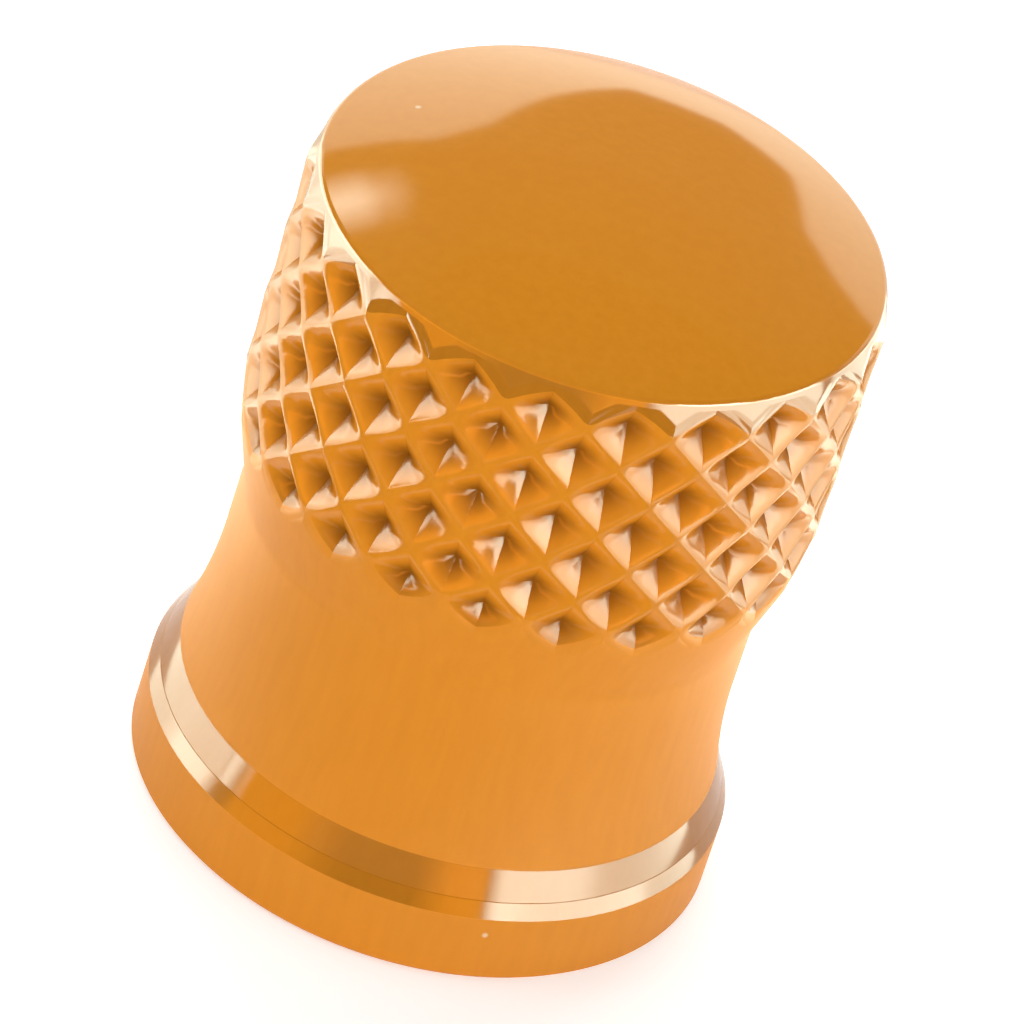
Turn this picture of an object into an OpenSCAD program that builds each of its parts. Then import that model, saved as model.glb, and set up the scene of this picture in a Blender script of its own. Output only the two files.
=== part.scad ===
// Tyre valve cap: a one-piece turned and knurled aluminium cap, with a rubber
// seal ring at the blind end of its tapped bore.
// The origin is at the centre of the open rim, on the face that the cap
// stands on, and +Z runs up the axis to the crown.

/* [Crown] */
// Diameter of the corner where the crown meets its bevel
crown_d = 10.3; // [9.9:0.05:10.6]
// Height of that corner above the upper end of the knurled band
crown_edge_h = 0.62; // [0.3:0.02:1.6]
// Rise of the domed crown above that corner
crown_rise = 0.85; // [0.3:0.05:2]
// Radius that softens that corner
crown_edge_r = 0.15; // [0.1:0.05:0.5]

/* [Knurled grip] */
// Diameter over the raised lands of the knurl
knurl_d = 10.8; // [10.65:0.05:11.6]
// Height of the upper end of the knurled band, where the crown bevel starts
knurl_top_h = 12.38; // [12.1:0.02:12.7]
// Height of the lower end of the knurled band, where the neck cone starts
knurl_low_h = 8.12; // [7.6:0.02:8.6]
// Number of pits in one ring round the cap
knurl_starts = 22; // [16:1:28]
// Radial depth of a pyramid pit
knurl_depth = 0.46; // [0.25:0.01:0.55]
// Width of the raised land that is left between two pits
knurl_land = 0.14; // [0.08:0.01:0.25]
// Angle of the raised lands to the axis, in degrees
knurl_angle = 45; // [40:1:50]
// Depth of the topmost ring of pit centres below the upper end of the band
knurl_first_h = 0.08; // [0:0.02:0.3]

/* [Waist] */
// Diameter of the plain waist at its narrowest
waist_d = 9.56; // [9.3:0.02:9.8]
// Height at which the neck cone reaches the waist
neck_h = 6.05; // [5.4:0.05:6.8]
// Radius that blends the neck cone into the waist
neck_r = 1.2; // [0.4:0.1:3]
// Height of the upper end of the flare, where it leaves the waist
flare_top_h = 4.5; // [3.6:0.05:4.9]

/* [Flange] */
// Diameter of the plain flange at the open end
flange_d = 10.8; // [10.6:0.05:11.6]
// Height of the sharp edge between the flange and its bevel
flange_h = 1.4; // [0.8:0.05:1.6]
// Diameter of the fine line that divides the bevel into two facets
bevel_line_d = 10.5; // [10.2:0.02:10.7]
// Height of that line
bevel_line_h = 1.7; // [1.5:0.02:2.1]
// Diameter at which the flare meets the bevel
flare_d = 10.04; // [9.9:0.02:10.3]
// Height at which the flare meets the bevel
flare_low_h = 2.26; // [2:0.02:2.8]
// Edge break round the foot of the flange
foot_break = 0.1; // [0.05:0.01:0.25]

/* [Bore] */
// Diameter of the bore over the crests of its 8V1 valve thread
bore_d = 6.9; // [6.7:0.02:7.1]
// Depth of the blind bore from the rim face
bore_h = 9.6; // [8.6:0.1:10.4]
// Diameter of the mouth of the thread's lead-in chamfer
mouth_d = 8.1; // [7.6:0.05:8.8]
// Diameter of the relief groove that holds the seal ring
relief_d = 7.9; // [7.5:0.05:8.2]

/* [Seal ring] */
// Thickness of the ring
seal_t = 1.2; // [0.8:0.1:2]
// Diameter of the hole that clears the valve pin
seal_hole_d = 3.6; // [2.8:0.1:4.4]
// Clearance between the ring and the wall of its groove
seal_side_gap = 0.05; // [0.02:0.01:0.1]
// Clearance between the ring and the groove's lower shoulder
seal_end_gap = 0.1; // [0.04:0.02:0.3]

/* [Hidden] */
$fn = 132;
arc_steps = 8;
edge_steps = 5;
crown_steps = 20;
overlap = 0.5;

land_r = knurl_d / 2;
pit_r = land_r - knurl_depth;
waist_r = waist_d / 2;
relief_h = seal_t + seal_end_gap;
lead_in_h = (mouth_d - bore_d) / 2;

// A pit cutter stands proud of the lands by less than half a land, so that
// neighbouring cutters never meet
cutter_r = land_r + 0.4 * knurl_land;
cutter_growth = (cutter_r - pit_r) / knurl_depth;
half_turn = 180 / knurl_starts;
ring_pitch = PI * (2 * land_r - knurl_depth) / knurl_starts;
row_pitch = ring_pitch / tan(knurl_angle) / 2;
first_row_h = knurl_top_h - knurl_first_h;
row_count = round((first_row_h - knurl_low_h) / row_pitch) + 1;
pit_half_angle = half_turn - knurl_land / cos(knurl_angle) / 2 / land_r * 180 / PI;
pit_half_h = row_pitch - knurl_land / sin(knurl_angle) / 2;

// The first column of pit centres faces -Y
knurl_turn = -90;

function arc(centre, r, from, to, steps) = [
    for (i = [0:steps])
        let (a = from + (to - from) * i / steps)
            centre + r * [cos(a), sin(a)]
];

// A point on a cylinder round the axis
function on_ring(r, a, z) = [r * cos(a), r * sin(a), z];

// Concave flare, which leaves the waist along the axis and ends at the bevel
flare_dr = flare_d / 2 - waist_r;
flare_dz = flare_top_h - flare_low_h;
flare_r = (pow(flare_dr, 2) + pow(flare_dz, 2)) / (2 * flare_dr);
flare_arc = arc([waist_r + flare_r, flare_top_h], flare_r, 180 + asin(flare_dz / flare_r), 180, arc_steps);

// Blend between the waist and the neck cone
neck_angle = atan((land_r - waist_r) / (knurl_low_h - neck_h));
neck_tangent = neck_r * tan(neck_angle / 2);
neck_arc = arc([waist_r + neck_r, neck_h - neck_tangent], neck_r, 180, 180 - neck_angle, arc_steps);

// Crown, an arc from its edge to the axis
crown_r = (pow(crown_d / 2, 2) + pow(crown_rise, 2)) / (2 * crown_rise);
crown_low = knurl_top_h + crown_edge_h;
crown_top = crown_low + crown_rise;
crown_centre = [0, crown_top - crown_r];

// Soft edge, an arc that touches both the bevel and the crown
bevel_step = [crown_d / 2 - land_r, crown_edge_h];
bevel_way = bevel_step / norm(bevel_step);
bevel_out = [bevel_way.y, -bevel_way.x];
edge_start = [crown_d / 2, crown_low] - crown_edge_r * bevel_out - crown_centre;
edge_along = edge_start * bevel_way;
edge_shift = sqrt(pow(edge_along, 2) - edge_start * edge_start + pow(crown_r - crown_edge_r, 2)) - edge_along;
edge_place = edge_start + edge_shift * bevel_way;
edge_from = atan2(bevel_out.y, bevel_out.x);
edge_to = atan2(edge_place.y, edge_place.x);
edge_arc = arc(crown_centre + edge_place, crown_edge_r, edge_from, edge_to, edge_steps);
crown_arc = arc(crown_centre, crown_r, edge_to, 90, crown_steps);

// Outline of the turned blank, from the foot up to the crown
module blank_outline() {
    polygon(concat(
        [
            [0, 0],
            [flange_d / 2 - foot_break, 0],
            [flange_d / 2, foot_break],
            [flange_d / 2, flange_h],
            [bevel_line_d / 2, bevel_line_h]
        ],
        flare_arc,
        neck_arc,
        [
            [land_r, knurl_low_h],
            [land_r, knurl_top_h]
        ],
        edge_arc,
        [for (i = [1:crown_steps]) crown_arc[i]]
    ));
}

// One pyramid pit: its bottom, then the right, upper, left and lower corners
module pit_cutter() {
    a = pit_half_angle * cutter_growth;
    h = pit_half_h * cutter_growth;
    polyhedron(
        points = [
            on_ring(pit_r, 0, 0),
            on_ring(cutter_r, a, 0),
            on_ring(cutter_r, 0, h),
            on_ring(cutter_r, -a, 0),
            on_ring(cutter_r, 0, -h)
        ],
        faces = [[0, 1, 2], [0, 2, 3], [0, 3, 4], [0, 4, 1], [2, 1, 4], [2, 4, 3]]
    );
}

// Rings of pits, each turned by half a pitch from the ring above it
module knurl_pits() {
    for (row = [0:row_count - 1], i = [0:knurl_starts - 1]) {
        turn = knurl_turn + half_turn * (2 * i + row % 2);
        rotate([0, 0, turn]) translate([0, 0, first_row_h - row * row_pitch]) pit_cutter();
    }
}

// Tapped bore with its lead-in chamfer and the relief groove at its blind end
module bore() {
    translate([0, 0, -overlap]) cylinder(d = bore_d, h = bore_h + overlap);
    translate([0, 0, bore_h - relief_h]) cylinder(d = relief_d, h = relief_h);
    translate([0, 0, -overlap])
        cylinder(d1 = mouth_d + 2 * overlap, d2 = bore_d, h = lead_in_h + overlap);
}

module cap_body() {
    color([0.87, 0.54, 0.14])
        difference() {
            rotate_extrude() blank_outline();
            knurl_pits();
            bore();
        }
}

module seal_ring() {
    color([0.07, 0.07, 0.07])
        translate([0, 0, bore_h - seal_t])
            difference() {
                cylinder(d = relief_d - 2 * seal_side_gap, h = seal_t);
                translate([0, 0, -overlap]) cylinder(d = seal_hole_d, h = seal_t + 2 * overlap);
            }
}

cap_body();
seal_ring();
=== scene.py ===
import math

import bpy
import numpy as np
from mathutils import Matrix, Vector

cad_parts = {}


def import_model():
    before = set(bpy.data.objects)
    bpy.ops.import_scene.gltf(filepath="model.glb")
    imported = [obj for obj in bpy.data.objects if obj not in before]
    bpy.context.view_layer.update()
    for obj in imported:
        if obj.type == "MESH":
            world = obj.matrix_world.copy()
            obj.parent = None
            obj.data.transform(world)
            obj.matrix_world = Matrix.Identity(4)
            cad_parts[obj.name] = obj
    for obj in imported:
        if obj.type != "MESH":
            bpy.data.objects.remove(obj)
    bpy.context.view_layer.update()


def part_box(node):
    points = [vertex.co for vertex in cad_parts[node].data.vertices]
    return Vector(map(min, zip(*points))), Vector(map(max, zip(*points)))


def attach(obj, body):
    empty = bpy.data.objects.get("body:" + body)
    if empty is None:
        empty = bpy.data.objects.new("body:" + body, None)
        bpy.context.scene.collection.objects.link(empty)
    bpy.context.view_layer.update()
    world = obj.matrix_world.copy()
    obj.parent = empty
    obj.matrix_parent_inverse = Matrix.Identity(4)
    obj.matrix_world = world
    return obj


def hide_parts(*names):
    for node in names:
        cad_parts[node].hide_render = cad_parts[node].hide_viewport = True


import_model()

# Lengths are in millimetres and angles in degrees, until they reach Blender
MM = 0.001
CAP_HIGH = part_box("cap_body")[1]
SEAL_LOW, SEAL_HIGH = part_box("seal_ring")

# The turned outline, from the open rim up to the crown
LAND_R = CAP_HIGH.x / MM
CROWN_TOP = CAP_HIGH.z / MM
CROWN_EDGE_R = 5.15
CROWN_EDGE_H = 13.0
CROWN_EDGE_SOFT = 0.15
KNURL_TOP_H = 12.38
KNURL_LOW_H = 8.12
WAIST_R = 4.78
NECK_H = 6.05
NECK_FILLET = 1.2
FLARE_TOP_H = 4.5
FLARE_LOW_H = 2.26
FLARE_LOW_R = 5.02
LINE_H = 1.7
LINE_R = 5.25
LINE_CUT = 0.006
FLANGE_H = 1.4
FLANGE_R = 5.4
FOOT_BREAK = 0.1
EDGE_BREAK = 0.025

# The knurl: pyramid pits with raised lands between them
STARTS = 22
PIT_DEPTH = 0.46
LAND_W = 0.14
KNURL_ANGLE = 45
FIRST_ROW_H = 12.3
FIRST_PIT_AZIMUTH = -90
LAND_EASE = 0.5
FOLD_EASE = 0.25
KNURL_BREAK = 0.28
LAND_SAG = 0.02
STRIP_LOW_H = 7.3
STRIP_HIGH_H = 12.85

# The bore, its right-hand thread and the groove for the seal. The thread's flat crest and root are shares of
# its pitch
THREAD_R = 3.45
THREAD_ROOT_R = 3.875
THREAD_PITCH = 25.4 / 32
THREAD_CREST = 0.25
THREAD_ROOT = 0.125
MOUTH_R = 4.05
LEAD_IN_START = 0.1
SEAL_HOLE_R = 1.8
SEAL_ROUNDING = 0.08
RELIEF_R = 3.95
BORE_H = SEAL_HIGH.z / MM
RELIEF_LOW_H = SEAL_LOW.z / MM - 0.1

# Radiance of the lamps, which light the matte colour, and of the cards, which stand for them in mirrored
# rays. 1 is the white of the background
LEFT_LAMP = 3.1
RIGHT_LAMP = 1.2
BACK_LAMP = 4.6
FRONT_LAMP = 7.5
LEFT_CARD = 18
RIGHT_CARD = 17
KNURL_CARD = 30
FLOOR_GLOW = 0.5
SKY_GLOW = 0.34
LAMP_COLOUR = (0.8, 1, 1)
CARD_COLOUR = (0.95, 1, 0.84)
WARM_COLOUR = (1, 0.32, 0.016)

# Distance of the cards from the axis and their height over the floor, in metres
CARD_R = 0.35
CARD_H = 0.0002

# Places of two pale specks, on the crown and on the flange
SPECKS = [(-3.73, 1.07, 13.37), (1.873, -5.065, 1.05)]

# How finely the turned surfaces and the thread are divided, and the width of the band that joins them
COLUMNS = 264
THREAD_COLUMNS = 96
STITCH = 0.05

HALF_TURN = 180 / STARTS
RING_PITCH = math.pi * (2 * LAND_R - PIT_DEPTH) / STARTS
ROW_PITCH = RING_PITCH / math.tan(math.radians(KNURL_ANGLE)) / 2
ROW_COUNT = round((FIRST_ROW_H - KNURL_LOW_H) / ROW_PITCH) + 1
PIT_R = LAND_R - PIT_DEPTH
PIT_HALF_TURN = HALF_TURN - math.degrees(LAND_W / math.cos(math.radians(KNURL_ANGLE)) / 2 / LAND_R)
PIT_HALF_H = ROW_PITCH - LAND_W / math.sin(math.radians(KNURL_ANGLE)) / 2


# Turned outlines


def rounded_outline(corners, steps=6):
    """Points, outward normals and zones of a turned outline. A corner is (radius, height, rounding, steps
    or None, zone of the stretch after it). The outline runs with the metal on its left."""
    runs = []
    places = [np.array(c[:2], float) for c in corners]
    start = places[0]
    for i in range(1, len(corners)):
        zone = corners[i - 1][4]
        way = unit(places[i] - places[i - 1])
        side = np.array([way[1], -way[0]])
        end = places[i]
        rounding = corners[i][2]
        if i + 1 < len(corners) and rounding:
            way_on = unit(places[i + 1] - places[i])
            turn = math.atan2(way[0] * way_on[1] - way[1] * way_on[0], way @ way_on)
            back = rounding * math.tan(abs(turn) / 2)
            end = places[i] - way * back
            runs.append(([start, end], [side, side], zone))
            centre = end - side * rounding * math.copysign(1, turn)
            count = corners[i][3] or steps
            spots, sides = [], []
            for k in range(count + 1):
                a = turn * k / count
                out = np.array([
                    side[0] * math.cos(a) - side[1] * math.sin(a),
                    side[0] * math.sin(a) + side[1] * math.cos(a),
                ])
                spots.append(centre + out * rounding * math.copysign(1, turn))
                sides.append(out)
            runs.append((spots, sides, corners[i][4] if abs(turn) * rounding > 0.2 else zone))
            start = spots[-1]
        else:
            runs.append(([start, end], [side, side], zone))
            start = end
    return [run for run in runs if np.linalg.norm(run[0][-1] - run[0][0]) > 1e-6]


def unit(v):
    return v / np.linalg.norm(v)


class Skin:
    """Collects the points, faces, corner normals and zones of one closed mesh."""

    def __init__(self):
        self.points = []
        self.faces = []
        self.normals = []
        self.zones = []

    def add_points(self, radii, azimuths, heights):
        """Adds points by their place round the axis and returns their numbers."""
        a = np.radians(azimuths)
        first = len(self.points)
        self.points += np.stack([radii * np.cos(a), radii * np.sin(a), heights + 0 * a], 1).tolist()
        return list(range(first, len(self.points)))

    def add_face(self, corners, normals, zone):
        self.faces.append(corners)
        self.normals.append(normals)
        self.zones.append(zone)

    def revolve(self, runs, first_ring=None, last_ring=None):
        """Turns the outline round the axis and returns its last ring, or its point on the axis."""
        azimuths = np.arange(COLUMNS) * 360 / COLUMNS
        ring = self.ring_at(runs[0][0][0], azimuths) if first_ring is None else first_ring
        for run, (spots, sides, zone) in enumerate(runs):
            for k in range(len(spots) - 1):
                ends = run == len(runs) - 1 and k == len(spots) - 2
                next_ring = last_ring if ends and last_ring else self.ring_at(spots[k + 1], azimuths)
                self.join_rings(ring, next_ring, sides[k], sides[k + 1], azimuths, zone)
                ring = next_ring
        return ring

    def ring_at(self, spot, azimuths):
        if spot[0] < 1e-6:
            return self.add_points(np.zeros(1), np.zeros(1), np.full(1, spot[1]))
        return self.add_points(np.full(len(azimuths), spot[0]), azimuths, np.full(len(azimuths), spot[1]))

    def join_rings(self, low, high, low_side, high_side, azimuths, zone):
        n = len(azimuths)
        a = np.radians(azimuths)
        low_n = np.stack([low_side[0] * np.cos(a), low_side[0] * np.sin(a), low_side[1] + 0 * a], 1)
        high_n = np.stack([high_side[0] * np.cos(a), high_side[0] * np.sin(a), high_side[1] + 0 * a], 1)
        for i in range(n):
            j = (i + 1) % n
            if len(high) == 1:
                self.add_face([low[i], low[j], high[0]], [low_n[i], low_n[j], high_n[i]], zone)
            elif len(low) == 1:
                self.add_face([low[0], high[j], high[i]], [low_n[i], high_n[j], high_n[i]], zone)
            else:
                corners = [low[i], low[j], high[j], high[i]]
                self.add_face(corners, [low_n[i], low_n[j], high_n[j], high_n[i]], zone)

    def stitch(self, low, low_azimuths, high, high_azimuths, normal_of, zone):
        """Joins two rings whose points stand at different azimuths by one band of triangles."""
        low_order, high_order = np.argsort(low_azimuths), np.argsort(high_azimuths)
        i = j = 0
        n, m = len(low_order), len(high_order)
        while i < n or j < m:
            a, b = low_order[i % n], high_order[j % m]
            a_next, b_next = low_order[(i + 1) % n], high_order[(j + 1) % m]
            low_reach = low_azimuths[a_next] + (360 if i + 1 >= n else 0)
            high_reach = high_azimuths[b_next] + (360 if j + 1 >= m else 0)
            if j >= m or (i < n and low_reach <= high_reach):
                corners = [low[a], low[a_next], high[b]]
                turns = [low_azimuths[a], low_azimuths[a_next], high_azimuths[b]]
                i += 1
            else:
                corners = [low[a], high[b_next], high[b]]
                turns = [low_azimuths[a], high_azimuths[b_next], high_azimuths[b]]
                j += 1
            self.add_face(corners, [normal_of(turn) for turn in turns], zone)

    def mesh(self, name, materials):
        """Makes the Blender object, in metres, with its materials in the order of the zones."""
        data = bpy.data.meshes.new(name)
        data.from_pydata((np.array(self.points) * MM).tolist(), [], self.faces)
        names = list(materials)
        for zone in names:
            data.materials.append(materials[zone])
        data.polygons.foreach_set("material_index", [names.index(zone) for zone in self.zones])
        data.shade_smooth()
        data.normals_split_custom_set([tuple(n) for face in self.normals for n in face])
        piece = bpy.data.objects.new(name, data)
        bpy.context.scene.collection.objects.link(piece)
        return piece


# Surfaces given by their radius over (azimuth, height)


def split(points, faces, level):
    """Cuts the faces where the level function of the points changes sign, so that no face crosses it."""
    value = level(points)
    value[np.abs(value) < 1e-7] = 0
    edges = np.sort(np.concatenate([faces[:, [0, 1]], faces[:, [1, 2]], faces[:, [2, 0]]]), axis=1)
    edges, places = np.unique(edges, axis=0, return_inverse=True)
    places = places.reshape(3, -1).T
    a, b = value[edges[:, 0]], value[edges[:, 1]]
    crossed = a * b < 0
    share = a[crossed] / (a[crossed] - b[crossed])
    ends = points[edges[crossed]]
    added = ends[:, 0] + (ends[:, 1] - ends[:, 0]) * share[:, None]
    number = np.full(len(edges), -1)
    number[crossed] = len(points) + np.arange(len(added))
    cuts = number[places]
    count = (cuts >= 0).sum(1)
    kept = [faces[count == 0]]
    for k in range(3):
        # One cut, on the edge opposite corner k
        f, c = np.roll(faces, -k, 1), np.roll(cuts, -k, 1)
        one = (count == 1) & (c[:, 1] >= 0)
        kept.append(np.stack([f[one, 0], f[one, 1], c[one, 1]], 1))
        kept.append(np.stack([f[one, 0], c[one, 1], f[one, 2]], 1))
        # Two cuts, on the edges that meet at corner k
        two = (count == 2) & (c[:, 1] < 0)
        kept.append(np.stack([f[two, 0], c[two, 0], c[two, 2]], 1))
        kept.append(np.stack([c[two, 0], f[two, 1], f[two, 2]], 1))
        kept.append(np.stack([c[two, 0], f[two, 2], c[two, 2]], 1))
    return np.concatenate([points, added]), np.concatenate(kept)


def merged(points, faces):
    """One number for each place round the axis, with azimuths from 0 to 360, and no collapsed face."""
    keys = np.stack([np.round(points[:, 0] * 1e4) % 3600000, np.round(points[:, 1] * 1e5)], 1)
    _, first, number = np.unique(keys, axis=0, return_index=True, return_inverse=True)
    number = number.reshape(-1)
    faces = number[faces]
    whole = (faces[:, 0] != faces[:, 1]) & (faces[:, 1] != faces[:, 2]) & (faces[:, 2] != faces[:, 0])
    points = points[first].copy()
    points[:, 0] %= 360
    return points, faces[whole]


def between(points, faces, low, high):
    """Cuts the faces at two heights and keeps what lies between them."""
    for height in (low, high):
        points, faces = split(points, faces, lambda p: p[:, 1] - height)
    middle = points[faces][:, :, 1].mean(1)
    faces = faces[(middle > low) & (middle < high)]
    used, number = np.unique(faces, return_inverse=True)
    return points[used], number.reshape(faces.shape)


def add_surface(skin, points, faces, radius_of, zone_of):
    """Adds faces whose corners stand at radius_of(points, guides), where a guide is a point inside the face
    that tells on which side of a crease the corner is."""
    numbers = np.array(skin.add_points(radius_of(points, points), points[:, 0], points[:, 1]))
    corners = points[faces]
    turned = (corners[:, :, 0] - corners[:, :1, 0] + 180) % 360 - 180
    corners = np.stack([turned + corners[:, :1, 0], corners[:, :, 1]], 2)
    guides = np.repeat(corners.mean(1), 3, axis=0)
    flat = corners.reshape(-1, 2)
    step = 1e-3
    r = radius_of(flat, guides)
    by_turn = radius_of(flat + [step, 0], guides) - radius_of(flat - [step, 0], guides)
    by_height = radius_of(flat + [0, step], guides) - radius_of(flat - [0, step], guides)
    slope_turn = by_turn / (2 * math.radians(step)) / r
    slope_height = by_height / (2 * step)
    a = np.radians(flat[:, 0])
    normals = np.stack([
        np.cos(a) + slope_turn * np.sin(a),
        np.sin(a) - slope_turn * np.cos(a),
        -slope_height,
    ], 1)
    normals /= np.linalg.norm(normals, axis=1)[:, None]
    normals = normals.reshape(-1, 3, 3)
    zones = zone_of(guides[::3])
    for face, sides, zone in zip(numbers[faces].tolist(), normals.tolist(), zones):
        skin.add_face(face, sides, zone)
    return numbers


def soft_least(a, b, width):
    """The lesser of two values, rounded where they are within width of each other."""
    share = np.clip(0.5 + (b - a) / (2 * width), 0, 1)
    return b + (a - b) * share - width * share * (1 - share)


# The knurled strip


def lattice(points):
    """Column and row of the nearest pit centre, and the place from it in half pitches."""
    u = (points[:, 0] - FIRST_PIT_AZIMUTH) / HALF_TURN
    w = (FIRST_ROW_H - points[:, 1]) / ROW_PITCH
    p, q = np.round((u + w) / 2), np.round((u - w) / 2)
    return p + q, p - q, u, w


def pit_radius(points, guides):
    """Radius of the pit nearest to a guide. Its sides are flat and ease into a rounded land half way to the
    next pit, or keep rising past the first and the last row."""
    column, row, u, w = lattice(guides)
    beyond = (row < 0) | (row >= ROW_COUNT)
    column = np.where(beyond, column + np.where(u >= column, 1, -1), column)
    row = np.clip(row, 0, ROW_COUNT - 1)
    side_turn, side_height = np.sign(u - column), np.sign(row - w)
    turn = (points[:, 0] - FIRST_PIT_AZIMUTH) / HALF_TURN - column
    height = row - (FIRST_ROW_H - points[:, 1]) / ROW_PITCH
    fold = np.sqrt(height**2 + (FOLD_EASE * np.abs(turn)) ** 2) - FOLD_EASE * np.abs(turn)
    height = np.where(np.abs(height) < 1e-9, 0, fold * np.sign(height))
    reach = np.maximum(turn * side_turn + height * side_height, 1e-9)
    crest = soft_least(np.minimum(reach, 1), 2 - np.minimum(reach, 1), LAND_EASE)
    eased = (crest + np.maximum(reach - 1, 0)) / reach
    a = np.radians(turn * eased * HALF_TURN * side_turn)
    z = height * eased * ROW_PITCH * side_height
    bottom = np.array([PIT_R, 0, 0])
    corner = math.radians(PIT_HALF_TURN)
    side_corner = np.array([LAND_R * math.cos(corner), LAND_R * math.sin(corner), 0])
    top_corner = np.array([LAND_R, 0, PIT_HALF_H])
    n = np.cross(side_corner - bottom, top_corner - bottom)
    r = (n @ bottom - n[2] * z) / (n[0] * np.cos(a) + n[1] * np.sin(a))
    crossing = np.maximum(np.abs(turn), np.abs(height))
    return r - LAND_SAG * np.cos(np.pi * np.clip(crossing - 0.5, 0, 0.5)) ** 2


def cone_radius(points):
    """Radius of the neck cone or of the crown bevel, whichever is less."""
    z = points[:, 1]
    neck = LAND_R - (KNURL_LOW_H - z) * (LAND_R - WAIST_R) / (KNURL_LOW_H - NECK_H)
    bevel = LAND_R - (z - KNURL_TOP_H) * (LAND_R - CROWN_EDGE_R) / (CROWN_EDGE_H - KNURL_TOP_H)
    return np.minimum(neck, bevel)


def strip_radius(points, guides):
    blank = soft_least(cone_radius(points), np.full(len(points), LAND_R), EDGE_BREAK)
    return soft_least(blank, pit_radius(points, guides), KNURL_BREAK)


def strip_zone(guides):
    """Zone of each face of the strip: a pit, the grip, the neck cone or the crown bevel."""
    in_pit = pit_radius(guides, guides) < cone_radius(guides)
    zone = np.where(guides[:, 1] < KNURL_LOW_H, "satin", "knurl")
    zone = np.where(guides[:, 1] > KNURL_TOP_H, "bevel", zone)
    return np.where(in_pit, "knurl", zone).tolist()


def knurl_strip(skin):
    """Adds the knurled strip and returns its lowest and highest rings, as (numbers, azimuths)."""
    half = np.array([0.35, 0.7, 0.775, 0.85, 0.925, 1])
    lines = np.concatenate([-half[::-1], [0], half])
    n = len(lines)
    s, t = (grid.ravel() for grid in np.meshgrid(lines, lines, indexing="ij"))
    cell = np.stack([(s - t) / 2 * HALF_TURN, (s + t) / 2 * ROW_PITCH], 1)
    squares = []
    for i in range(n - 1):
        for j in range(n - 1):
            a, b, c, d = i * n + j, (i + 1) * n + j, (i + 1) * n + j + 1, i * n + j + 1
            rising = (lines[i] + lines[i + 1]) * (lines[j] + lines[j + 1]) > 0
            squares += [[a, b, c], [a, c, d]] if rising else [[a, b, d], [b, c, d]]
    squares = np.array(squares)
    points, faces = [], []
    for row in range(-1, ROW_COUNT + 1):
        for i in range(STARTS):
            faces.append(squares + len(points) * n * n)
            middle = [FIRST_PIT_AZIMUTH + HALF_TURN * (2 * i + row % 2), FIRST_ROW_H - row * ROW_PITCH]
            points.append(cell + middle)
    points, faces = merged_flat(np.concatenate(points), np.concatenate(faces))
    points, faces = between(points, faces, STRIP_LOW_H, STRIP_HIGH_H)
    for height in (KNURL_LOW_H, KNURL_TOP_H):
        for offset in (-EDGE_BREAK, 0, EDGE_BREAK):
            points, faces = split(points, faces, lambda p: p[:, 1] - height - offset)
    for share in (-1, -0.5, 0, 0.5, 1):
        points, faces = split(
            points, faces, lambda p: pit_radius(p, p) - cone_radius(p) - share * KNURL_BREAK,
        )
    points, faces = merged(points, faces)
    numbers = add_surface(skin, points, faces, strip_radius, strip_zone)
    rings = []
    for height in (STRIP_LOW_H, STRIP_HIGH_H):
        on_it = np.abs(points[:, 1] - height) < 1e-4
        rings.append((numbers[on_it], points[on_it, 0]))
    return rings


def merged_flat(points, faces):
    """Joins points at the same place, before the strip is closed round the axis."""
    keys = np.round(points * 1e5)
    _, first, number = np.unique(keys, axis=0, return_index=True, return_inverse=True)
    return points[first], number.reshape(-1)[faces]


# The thread


def thread_radius(points, guides):
    """Radius of the V thread, opened by the lead-in cone at the mouth."""
    phase = (points[:, 1] / THREAD_PITCH - points[:, 0] / 360) % 1
    guide_phase = (guides[:, 1] / THREAD_PITCH - guides[:, 0] / 360) % 1
    phase = np.where(phase - guide_phase > 0.5, phase - 1, phase)
    phase = np.where(guide_phase - phase > 0.5, phase + 1, phase)
    flank = (1 - THREAD_CREST - THREAD_ROOT) / 2
    away = np.abs(phase - 0.5)
    depth = THREAD_ROOT_R - THREAD_R
    wall = THREAD_R + depth * np.clip((away - THREAD_CREST / 2) / flank, 0, 1)
    return np.maximum(wall, MOUTH_R - points[:, 1])


def thread_strip(skin):
    """Adds the threaded wall and returns its lowest and highest rings."""
    root, crest = THREAD_ROOT / 2, THREAD_CREST / 2
    breaks = np.array([0, root, 0.5 - crest, 0.5 + crest, 1 - root])
    turns = range(-2, math.ceil(BORE_H / THREAD_PITCH) + 2)
    heights = np.concatenate([(k + breaks) * THREAD_PITCH for k in turns])
    azimuths = np.arange(THREAD_COLUMNS + 1) * 360 / THREAD_COLUMNS
    points = np.array([[a, h + a / 360 * THREAD_PITCH] for a in azimuths for h in heights])
    m = len(heights)
    faces = []
    for i in range(THREAD_COLUMNS):
        for j in range(m - 1):
            a, b, c, d = i * m + j, i * m + j + 1, (i + 1) * m + j + 1, (i + 1) * m + j
            faces += [[a, b, c], [a, c, d]]
    points, faces = between(points, np.array(faces), LEAD_IN_START, RELIEF_LOW_H)
    points, faces = merged(points, faces)
    first = len(skin.faces)
    numbers = add_surface(skin, points, faces, thread_radius, lambda g: ["bore"] * len(g))
    for k in range(first, len(skin.faces)):
        skin.normals[k] = [[-x for x in n] for n in skin.normals[k]]
    rings = []
    for height in (LEAD_IN_START, RELIEF_LOW_H):
        on_it = np.abs(points[:, 1] - height) < 1e-4
        rings.append((numbers[on_it], points[on_it, 0]))
    return rings


# The pieces


def cone_point(r1, z1, r2, z2, z):
    return r1 + (r2 - r1) * (z - z1) / (z2 - z1)


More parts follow.
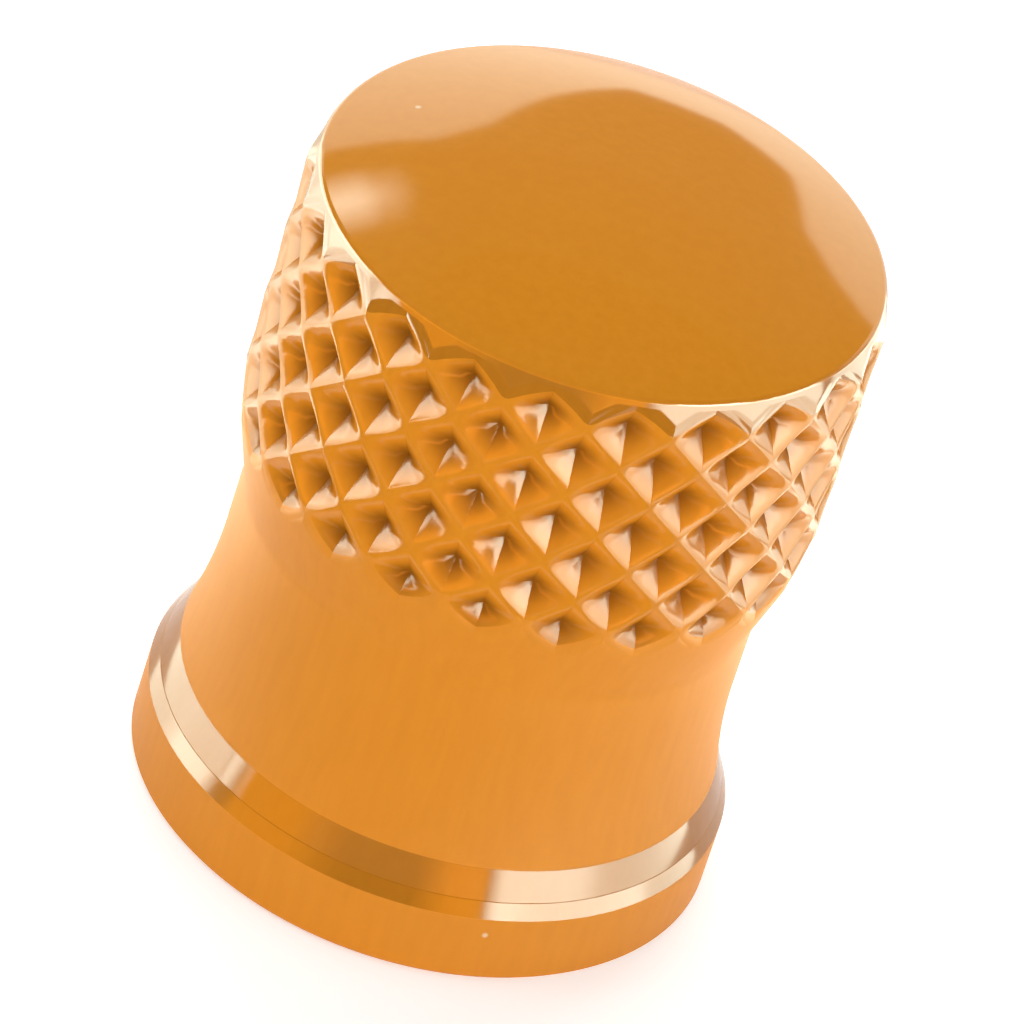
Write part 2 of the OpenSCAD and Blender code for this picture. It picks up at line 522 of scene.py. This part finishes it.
def cone_normal(side_r, side_z):
    """Normal of a cone at any azimuth, from its slope."""
    r, z = unit(np.array([side_r, side_z], float))

    def normal_of(azimuth):
        a = math.radians(azimuth)
        return [r * math.cos(a), r * math.sin(a), z]

    return normal_of


def arc_run(centre, radius, first, last, steps, zone):
    """An arc of an outline, with its centre on the metal's side."""
    sides = [np.array([math.cos(a), math.sin(a)]) for a in np.linspace(first, last, steps + 1)]
    return [centre + radius * side for side in sides], sides, zone


def crown_outline(start_r, start_h):
    """The crown's bevel, its soft edge and its dome, up to the axis."""
    crown_r = (CROWN_EDGE_R**2 + (CROWN_TOP - CROWN_EDGE_H) ** 2) / (2 * (CROWN_TOP - CROWN_EDGE_H))
    centre = np.array([0, CROWN_TOP - crown_r])
    corner = np.array([CROWN_EDGE_R, CROWN_EDGE_H])
    way = unit(corner - (LAND_R, KNURL_TOP_H))
    side = np.array([way[1], -way[0]])
    start = corner - CROWN_EDGE_SOFT * side - centre
    along = start @ way
    place = start + way * (math.sqrt(along**2 - start @ start + (crown_r - CROWN_EDGE_SOFT) ** 2) - along)
    turn = math.atan2(place[1], place[0])
    edge = arc_run(centre + place, CROWN_EDGE_SOFT, math.atan2(side[1], side[0]), turn, 10, "crown")
    dome = arc_run(centre, crown_r, turn, math.pi / 2, 44, "crown")
    dome[0][-1][0] = 0
    return [([np.array([start_r, start_h]), edge[0][0]], [side, side], "bevel"), edge, dome]


def cap_skin():
    """The whole cap: the knurled strip, the turned outline below and above it, and the bore."""
    skin = Skin()
    azimuths = np.arange(COLUMNS) * 360 / COLUMNS
    strip_low, strip_high = knurl_strip(skin)
    thread_low, thread_high = thread_strip(skin)

    flare_dr, flare_dz = FLARE_LOW_R - WAIST_R, FLARE_TOP_H - FLARE_LOW_H
    flare_r = (flare_dr**2 + flare_dz**2) / (2 * flare_dr)
    flare_reach = flare_r * math.tan(math.asin(flare_dz / flare_r) / 2)
    neck_end_h = STRIP_LOW_H - STITCH
    neck_end_r = cone_point(WAIST_R, NECK_H, LAND_R, KNURL_LOW_H, neck_end_h)
    lead_in_h = LEAD_IN_START - STITCH
    lower = rounded_outline([
        (MOUTH_R - lead_in_h, lead_in_h, 0, None, "bore"),
        (MOUTH_R, 0, EDGE_BREAK, None, "rim"),
        (FLANGE_R - FOOT_BREAK, 0, EDGE_BREAK, None, "rim"),
        (FLANGE_R, FOOT_BREAK, EDGE_BREAK, None, "rim"),
        (FLANGE_R, FLANGE_H, EDGE_BREAK, None, "bevel"),
        (LINE_R + LINE_CUT / 2, LINE_H - LINE_CUT, 0, None, "bevel"),
        (LINE_R - LINE_CUT, LINE_H, 0, None, "bevel"),
        (LINE_R - LINE_CUT / 2, LINE_H + LINE_CUT, 0, None, "bevel"),
        (FLARE_LOW_R, FLARE_LOW_H, EDGE_BREAK, None, "satin"),
        (WAIST_R, FLARE_TOP_H - flare_reach, flare_r, 24, "satin"),
        (WAIST_R, NECK_H, NECK_FILLET, 12, "satin"),
        (neck_end_r, neck_end_h, 0, None, "satin"),
    ])
    foot = skin.ring_at((MOUTH_R - lead_in_h, lead_in_h), azimuths)
    skin.stitch(*thread_low, foot, azimuths, cone_normal(-1, -1), "bore")
    neck = skin.revolve(lower, foot)
    skin.stitch(neck, azimuths, *strip_low, cone_normal(KNURL_LOW_H - NECK_H, WAIST_R - LAND_R), "satin")

    bevel_h = STRIP_HIGH_H + STITCH / 4
    bevel_r = cone_point(LAND_R, KNURL_TOP_H, CROWN_EDGE_R, CROWN_EDGE_H, bevel_h)
    bevel = skin.ring_at((bevel_r, bevel_h), azimuths)
    skin.stitch(
        *strip_high, bevel, azimuths,
        cone_normal(CROWN_EDGE_H - KNURL_TOP_H, LAND_R - CROWN_EDGE_R), "bevel",
    )
    skin.revolve(crown_outline(bevel_r, bevel_h), bevel)

    blind_end = rounded_outline([
        (0, BORE_H, 0, None, "bore"),
        (RELIEF_R, BORE_H, EDGE_BREAK, None, "bore"),
        (RELIEF_R, RELIEF_LOW_H, 0, None, "bore"),
    ])
    shoulder = skin.revolve(blind_end)
    skin.stitch(shoulder, azimuths, *thread_high, cone_normal(0, 1), "bore")
    return skin


def seal_skin():
    """The flat rubber ring, with rounded edges, that lies against the blind end."""
    skin = Skin()
    outer, low, high = SEAL_HIGH.x / MM, SEAL_LOW.z / MM, SEAL_HIGH.z / MM
    middle = (outer + SEAL_HOLE_R) / 2
    section = rounded_outline([
        (middle, low, 0, None, "rubber"),
        (outer, low, SEAL_ROUNDING, None, "rubber"),
        (outer, high, SEAL_ROUNDING, None, "rubber"),
        (SEAL_HOLE_R, high, SEAL_ROUNDING, None, "rubber"),
        (SEAL_HOLE_R, low, SEAL_ROUNDING, None, "rubber"),
        (middle, low, 0, None, "rubber"),
    ])
    first = skin.ring_at((middle, low), np.arange(COLUMNS) * 360 / COLUMNS)
    skin.revolve(section, first, first)
    return skin


# Materials


def node(tree, kind, inputs=None, **settings):
    """Adds a shader node, with its settings and its input values or links."""
    made = tree.nodes.new(kind)
    for name, value in settings.items():
        setattr(made, name, value)
    for name, value in (inputs or {}).items():
        if isinstance(value, bpy.types.NodeSocket):
            tree.links.new(value, made.inputs[name])
        else:
            made.inputs[name].default_value = value
    return made


def srgb(r, g, b):
    """A colour in the renderer's linear values, from 0 to 255 as a picture stores it."""
    def linear(v):
        v /= 255
        return v / 12.92 if v <= 0.04045 else ((v + 0.055) / 1.055) ** 2.4

    return (linear(r), linear(g), linear(b), 1)


def anodised(
    name, coat, coat_roughness, marks=0.1, gloss=0, painted_shade_scale=1, pit_painted_shade_scale=None, metallic=0, roughness=0.5,
):
    """Orange anodised aluminium: a dyed metal under the clear, hard oxide that gives the white glints. Its
    colour is scaled down by its shade factor, which is painted shade that makes the bevel and the crown
    darker copies of one orange, and further down to the pit factor at the bottom of the knurl's pits,
    which is painted shade in the hollows. marks is the depth of the turning marks."""
    material = bpy.data.materials.new(name)
    material.use_nodes = True
    tree = material.node_tree
    shader = tree.nodes["Principled BSDF"]
    place = node(tree, "ShaderNodeTexCoord").outputs["Object"]
    drawn = node(tree, "ShaderNodeVectorMath", {0: place, 1: (5000, 5000, 700)}, operation="MULTIPLY")
    mottle = node(tree, "ShaderNodeTexNoise", {"Vector": drawn.outputs["Vector"], "Scale": 1, "Detail": 3})
    colours = node(tree, "ShaderNodeValToRGB", {"Fac": mottle.outputs["Fac"]})
    colours.color_ramp.elements[0].position = 0.3
    colours.color_ramp.elements[0].color = srgb(223, 137, 33)
    colours.color_ramp.elements[1].position = 0.7
    colours.color_ramp.elements[1].color = srgb(227, 141, 36)
    parts = node(tree, "ShaderNodeSeparateXYZ", {"Vector": place})
    flat = node(tree, "ShaderNodeCombineXYZ", {"X": parts.outputs["X"], "Y": parts.outputs["Y"]})
    radius = node(tree, "ShaderNodeVectorMath", {0: flat.outputs["Vector"]}, operation="LENGTH")
    # Painted shade: the colour falls from the shade factor to the pit factor towards the bottom of the
    # knurl's pits
    level = node(tree, "ShaderNodeMapRange", {
        "Value": radius.outputs["Value"], "From Min": PIT_R * MM, "From Max": (LAND_R - PIT_DEPTH / 4) * MM,
        "To Min": painted_shade_scale if pit_painted_shade_scale is None else pit_painted_shade_scale, "To Max": painted_shade_scale,
    }, interpolation_type="SMOOTHSTEP")
    shaded_colour = node(tree, "ShaderNodeVectorMath", {0: colours.outputs["Color"]}, operation="SCALE")
    tree.links.new(level.outputs["Result"], shaded_colour.inputs["Scale"])
    colour = shaded_colour.outputs["Vector"]
    for speck in SPECKS:
        centre = [v * MM for v in speck]
        away = node(tree, "ShaderNodeVectorMath", {0: place, 1: centre}, operation="DISTANCE")
        share = node(tree, "ShaderNodeMapRange", {
            "Value": away.outputs["Value"], "From Min": 0.03 * MM, "From Max": 0.07 * MM,
            "To Min": 0.6, "To Max": 0,
        })
        mixed = node(tree, "ShaderNodeMix", {"Factor": share.outputs["Result"]}, data_type="RGBA")
        tree.links.new(colour, mixed.inputs["A"])
        mixed.inputs["B"].default_value = srgb(250, 225, 190)
        colour = mixed.outputs["Result"]
    tree.links.new(colour, shader.inputs["Base Color"])
    shader.inputs["Metallic"].default_value = metallic
    shader.inputs["Roughness"].default_value = roughness
    shader.inputs["Specular IOR Level"].default_value = gloss
    shader.inputs["Coat Weight"].default_value = coat
    shader.inputs["Coat IOR"].default_value = 1.5
    shader.inputs["Coat Roughness"].default_value = coat_roughness
    # Turning marks are rings round the axis, so their pattern depends on height and radius alone
    ring = node(tree, "ShaderNodeCombineXYZ", {"X": radius.outputs["Value"], "Z": parts.outputs["Z"]})
    lines = node(
        tree, "ShaderNodeTexNoise",
        {"Vector": ring.outputs["Vector"], "Scale": 20000, "Detail": 2},
    )
    bump = node(
        tree, "ShaderNodeBump",
        {"Height": lines.outputs["Fac"], "Strength": marks, "Distance": 0.00001},
    )
    tree.links.new(bump.outputs["Normal"], shader.inputs["Normal"])
    return material


def rubber():
    material = bpy.data.materials.new("seal_rubber")
    material.use_nodes = True
    tree = material.node_tree
    shader = tree.nodes["Principled BSDF"]
    place = node(tree, "ShaderNodeTexCoord").outputs["Object"]
    grain = node(tree, "ShaderNodeTexNoise", {"Vector": place, "Scale": 6000, "Detail": 4})
    bump = node(
        tree, "ShaderNodeBump",
        {"Height": grain.outputs["Fac"], "Strength": 0.3, "Distance": 0.00002},
    )
    shader.inputs["Base Color"].default_value = srgb(38, 37, 36)
    shader.inputs["Roughness"].default_value = 0.7
    tree.links.new(bump.outputs["Normal"], shader.inputs["Normal"])
    return material


def seen_or_mirrored(tree):
    """1 for rays that show the background: straight from the camera, mirrored or through glass."""
    path = node(tree, "ShaderNodeLightPath")
    total = node(
        tree, "ShaderNodeMath",
        {0: path.outputs["Is Camera Ray"], 1: path.outputs["Is Glossy Ray"]}, operation="ADD",
    )
    return node(
        tree, "ShaderNodeMath",
        {0: total.outputs["Value"], 1: path.outputs["Is Transmission Ray"]},
        operation="ADD", use_clamp=True,
    ).outputs["Value"]


# The studio


def panel_light(name, azimuth, elevation, width, height, distance, radiance, colour):
    """A soft rectangular lamp that faces the cap. Azimuth 0 is the camera's side and 90 is +X. The cards
    stand for it in mirrored rays."""
    a, e = math.radians(azimuth), math.radians(elevation)
    way = Vector((math.sin(a) * math.cos(e), -math.cos(a) * math.cos(e), math.sin(e)))
    data = bpy.data.lights.new(name, "AREA")
    data.shape = "RECTANGLE"
    data.size, data.size_y = width, height
    data.energy = radiance * math.pi * width * height
    data.color = colour
    lamp = bpy.data.objects.new(name, data)
    lamp.location = way * distance + Vector((0, 0, CROWN_TOP * MM / 2))
    lamp.rotation_mode = "QUATERNION"
    lamp.rotation_quaternion = way.to_track_quat("Z", "Y")
    lamp.visible_camera = False
    lamp.visible_glossy = False
    bpy.context.scene.collection.objects.link(lamp)


def glow_card(name, edges, colour=CARD_COLOUR):
    """A card that only mirrored rays see, as a photographer sets one beside polished metal. An edge is its
    azimuth, the (radius, height) of its foot and of its head in metres, and the radiance of both."""
    points, glows = [], []
    for azimuth, foot, head, radiances in edges:
        a = math.radians(azimuth)
        points += [(r * math.sin(a), -r * math.cos(a), h) for r, h in (foot, head)]
        glows += radiances
    faces = [(2 * i, 2 * i + 2, 2 * i + 3, 2 * i + 1) for i in range(len(edges) - 1)]
    data = bpy.data.meshes.new(name)
    data.from_pydata(points, [], faces)
    data.attributes.new("glow", "FLOAT", "POINT").data.foreach_set("value", glows)
    material = bpy.data.materials.new(name)
    material.use_nodes = True
    tree = material.node_tree
    tree.nodes.remove(tree.nodes["Principled BSDF"])
    level = node(tree, "ShaderNodeAttribute", attribute_name="glow").outputs["Fac"]
    glow = node(tree, "ShaderNodeEmission", {"Color": (*colour, 1), "Strength": level})
    tree.links.new(glow.outputs["Emission"], tree.nodes["Material Output"].inputs["Surface"])
    data.materials.append(material)
    card = bpy.data.objects.new(name, data)
    bpy.context.scene.collection.objects.link(card)
    card.visible_camera = False
    card.visible_diffuse = False
    card.visible_shadow = False


def floor_card(name, edges):
    """A card on the floor. An edge is its azimuth, its inner radius in metres, and its radiance there and
    at the far end."""
    glow_card(name, [(a, (inner, CARD_H), (CARD_R, CARD_H), (near, far)) for a, inner, near, far in edges])


def wall_card(name, low, high, edges, distance=CARD_R, foot_share=1, head_share=1, colour=CARD_COLOUR):
    """An upright card round the cap, between two elevations. An edge is its azimuth and radiance, of which
    the foot and the head of the card have a share."""
    foot, head = ((distance, distance * math.tan(math.radians(e))) for e in (low, high))
    edges = [(a, foot, head, (glow * foot_share, glow * head_share)) for a, glow in edges]
    glow_card(name, edges, colour)


def canopy(radius, rim):
    """A black dome over the set, open where rim(azimuth) lifts its edge off the floor."""
    columns, rows = 72, 18
    points, faces = [], []
    for i in range(columns):
        azimuth = i * 360 / columns
        low = rim((azimuth + 180) % 360 - 180)
        for k in range(rows + 1):
            e = math.radians(low + (90 - low) * k / rows)
            a = math.radians(azimuth)
            points.append((
                radius * math.sin(a) * math.cos(e),
                -radius * math.cos(a) * math.cos(e),
                radius * math.sin(e),
            ))
    for i in range(columns):
        j = (i + 1) % columns
        for k in range(rows):
            a, b = i * (rows + 1) + k, j * (rows + 1) + k
            faces.append((a, b, b + 1, a + 1))
    data = bpy.data.meshes.new("canopy")
    data.from_pydata(points, [], faces)
    data.materials.append(canopy_cloth())
    dome = bpy.data.objects.new("canopy", data)
    bpy.context.scene.collection.objects.link(dome)
    dome.visible_camera = False
    dome.visible_diffuse = False


def canopy_cloth():
    """Black in front and at the sides, and lit from its lower edge upwards behind the cap."""
    material = bpy.data.materials.new("canopy_cloth")
    material.use_nodes = True
    tree = material.node_tree
    shader = tree.nodes["Principled BSDF"]
    shader.inputs["Base Color"].default_value = (0.02, 0.02, 0.02, 1)
    shader.inputs["Roughness"].default_value = 1
    shader.inputs["Specular IOR Level"].default_value = 0
    place = node(tree, "ShaderNodeTexCoord").outputs["Object"]
    way = node(tree, "ShaderNodeVectorMath", {0: place}, operation="NORMALIZE")
    parts = node(tree, "ShaderNodeSeparateXYZ", {"Vector": way.outputs["Vector"]})
    level = node(
        tree, "ShaderNodeMapRange",
        {"Value": parts.outputs["Z"], "From Min": 0.5, "From Max": 0.8, "To Min": 0.12, "To Max": 0},
    )
    behind = node(
        tree, "ShaderNodeMapRange",
        {"Value": parts.outputs["Y"], "From Min": 0.05, "From Max": 0.3, "To Min": 0, "To Max": 1},
        interpolation_type="SMOOTHSTEP",
    )
    glow = node(
        tree, "ShaderNodeMath",
        {0: level.outputs["Result"], 1: behind.outputs["Result"]}, operation="MULTIPLY",
    )
    shader.inputs["Emission Color"].default_value = (1, 1, 1, 1)
    tree.links.new(glow.outputs["Value"], shader.inputs["Emission Strength"])
    return material


def studio_rim(azimuth):
    """Height of the canopy's edge, in degrees above the floor, over the azimuth from the camera's side."""
    turns = (-180, -168, -140, -139, -81, -80, 36, 37, 124, 125, 158, 165, 172, 180)
    heights = (8, 31, 31, 19, 19, -3, -3, 19, 19, 30, 30, 24, 8, 8)
    return float(np.interp(azimuth, turns, heights))


def floor():
    data = bpy.data.meshes.new("floor")
    half = 1.5
    corners = [(-half, -half, 0), (half, -half, 0), (half, half, 0), (-half, half, 0)]
    data.from_pydata(corners, [], [(0, 1, 2, 3)])
    material = bpy.data.materials.new("white_floor")
    material.use_nodes = True
    tree = material.node_tree
    tree.nodes.remove(tree.nodes["Principled BSDF"])
    matte = node(tree, "ShaderNodeBsdfDiffuse", {"Color": (0.8, 0.8, 0.8, 1)})
    level = node(
        tree, "ShaderNodeMath",
        {0: seen_or_mirrored(tree), 1: FLOOR_GLOW}, operation="MULTIPLY",
    )
    glow = node(tree, "ShaderNodeEmission", {"Color": (1, 1, 1, 1), "Strength": level.outputs["Value"]})
    both = node(tree, "ShaderNodeAddShader", {0: matte.outputs["BSDF"], 1: glow.outputs["Emission"]})
    tree.links.new(both.outputs["Shader"], tree.nodes["Material Output"].inputs["Surface"])
    data.materials.append(material)
    ground = bpy.data.objects.new("floor", data)
    bpy.context.scene.collection.objects.link(ground)


def world():
    sky = bpy.data.worlds.new("studio")
    bpy.context.scene.world = sky
    sky.use_nodes = True
    tree = sky.node_tree
    level = node(
        tree, "ShaderNodeMapRange",
        {"Value": seen_or_mirrored(tree), "To Min": SKY_GLOW, "To Max": 1.0},
    )
    tree.nodes["Background"].inputs["Color"].default_value = (1, 1, 1, 1)
    tree.links.new(level.outputs["Result"], tree.nodes["Background"].inputs["Strength"])


def camera():
    """The photograph's view: from above, close to the -Y side, with the camera rolled."""
    azimuth, elevation, roll = math.radians(-0.84), math.radians(35.04), math.radians(18.2)
    distance, target_h = 0.2145, 0.006473
    photo_size, left, up = 1024, 2.24, 2.42
    back = Vector((
        math.sin(azimuth) * math.cos(elevation),
        -math.cos(azimuth) * math.cos(elevation),
        math.sin(elevation),
    ))
    data = bpy.data.cameras.new("camera")
    data.sensor_width = 36
    data.lens = 421.9
    data.shift_x, data.shift_y = left / photo_size, -up / photo_size
    data.clip_start, data.clip_end = 0.01, 10
    made = bpy.data.objects.new("camera", data)
    made.location = Vector((0, 0, target_h)) + back * distance
    made.rotation_mode = "QUATERNION"
    made.rotation_quaternion = back.to_track_quat("Z", "Y") @ Matrix.Rotation(roll, 3, "Z").to_quaternion()
    bpy.context.scene.collection.objects.link(made)
    bpy.context.scene.camera = made


def lamps():
    """Soft light for the matte colour: from the left and above, the right, the back and low in front."""
    panel_light("left_lamp", -110, 55, 0.4, 0.12, 0.35, LEFT_LAMP, LAMP_COLOUR)
    panel_light("right_lamp", 85, 20, 0.5, 0.11, 0.35, RIGHT_LAMP, LAMP_COLOUR)
    panel_light("back_lamp", 180, 36, 0.4, 0.3, 0.5, BACK_LAMP, (1, 1, 1))
    panel_light("front_lamp", 0, 4.5, 0.5, 0.06, 0.35, FRONT_LAMP, (1, 1, 1))


def cards():
    """What the polished metal mirrors: a light wall on each side that fades at its ends, bright floor
    under it and dark floor in front, a warm card beside each wall, and a small light high at the back."""
    right_glow = [(34, 0), (106, 0)]
    right_glow[1:1] = [(a, RIGHT_CARD) for a in (40, 60, 80, 101)]
    wall_card("right_card", -1, 11, right_glow)
    wall_card("right_high_card", 11, 16, right_glow, head_share=KNURL_CARD / RIGHT_CARD)
    wall_card("knurl_card", 16, 27, [(a, KNURL_CARD) for a in (46, 60, 74)])
    wall_card("left_card", -1, 18, [(-73, 0), (-79, LEFT_CARD), (-95, LEFT_CARD), (-115, 10), (-140, 6)])
    wall_card("left_end_card", 2.5, 5.5, [(-56, 0), (-61, LEFT_CARD), (-73, LEFT_CARD), (-79, 0)])
    wall_card("left_low_card", -1, 2, [(-66, 0), (-71, LEFT_CARD), (-74, LEFT_CARD), (-79, 0)])
    wall_card("warm_right_card", -1, 17, [(8, 0), (22, 9), (33, 9), (36, 0)], colour=WARM_COLOUR)
    wall_card("warm_left_card", -1, 17, [(-68, 0), (-64, 7), (-40, 7), (-18, 0)], colour=WARM_COLOUR)
    floor_card("front_floor_card", [(a, 0.009, 0, 0) for a in (-69, -45, -20, 5, 25, 38)])
    floor_card("right_floor_card", [
        (38, 0.035, 10, RIGHT_CARD), (60, 0.03, 10, RIGHT_CARD), (80, 0.014, 8, RIGHT_CARD),
        (104, 0.011, 9, 22),
    ])
    floor_card("far_right_floor_card", [(109, 0.011, 7, 14), (130, 0.011, 5, 8), (150, 0.011, 2, 4)])
    floor_card("left_floor_card", [
        (-69, 0.06, 10, LEFT_CARD), (-82, 0.012, 10, LEFT_CARD), (-105, 0.01, 7, 28), (-125, 0.01, 4, 18),
        (-145, 0.01, 1.5, 6), (-160, 0.01, 1, 3),
    ])
    crown_glow = [(-160, 0), (-156, 3), (-152, 8), (-147, 8), (-143, 0)]
    wall_card("crown_low_card", 36, 42, crown_glow, foot_share=0)
    wall_card("crown_high_card", 42, 48, crown_glow, head_share=0)
    wall_card("back_card", 0, 31, [(a, 2) for a in (133, 150, 165, 180, 195, 210, 227)], 0.75)


camera()
bpy.context.scene.view_settings.view_transform = "Standard"

finishes = {
    # The crown's and the bevel's tones are painted shade: darker copies of the one orange
    "crown": anodised("crown_polished", 1, 0.09, marks=0.02, painted_shade_scale=0.94),
    "bevel": anodised("bevel_mirror", 0.8, 0.1, marks=0.3, painted_shade_scale=0.67),
    # The knurl's colour falls to a painted shade at the bottom of its pits
    "knurl": anodised("knurl_bright", 0.45, 0.14, marks=0.02, pit_painted_shade_scale=0.42),
    "satin": anodised("waist_satin", 0.18, 0.6, gloss=0.08),
    "rim": anodised("rim_satin", 0.2, 0.6, gloss=0.1),
    "bore": anodised("bore_satin", 0.1, 0.3, gloss=0.1, metallic=0.4, roughness=0.4),
}
cap = cap_skin().mesh("cap", finishes)
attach(cap, "root")
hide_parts("cap_body")
seal = seal_skin().mesh("seal", {"rubber": rubber()})
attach(seal, "root")
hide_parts("seal_ring")

lamps()
cards()
canopy(0.6, studio_rim)
floor()
world()
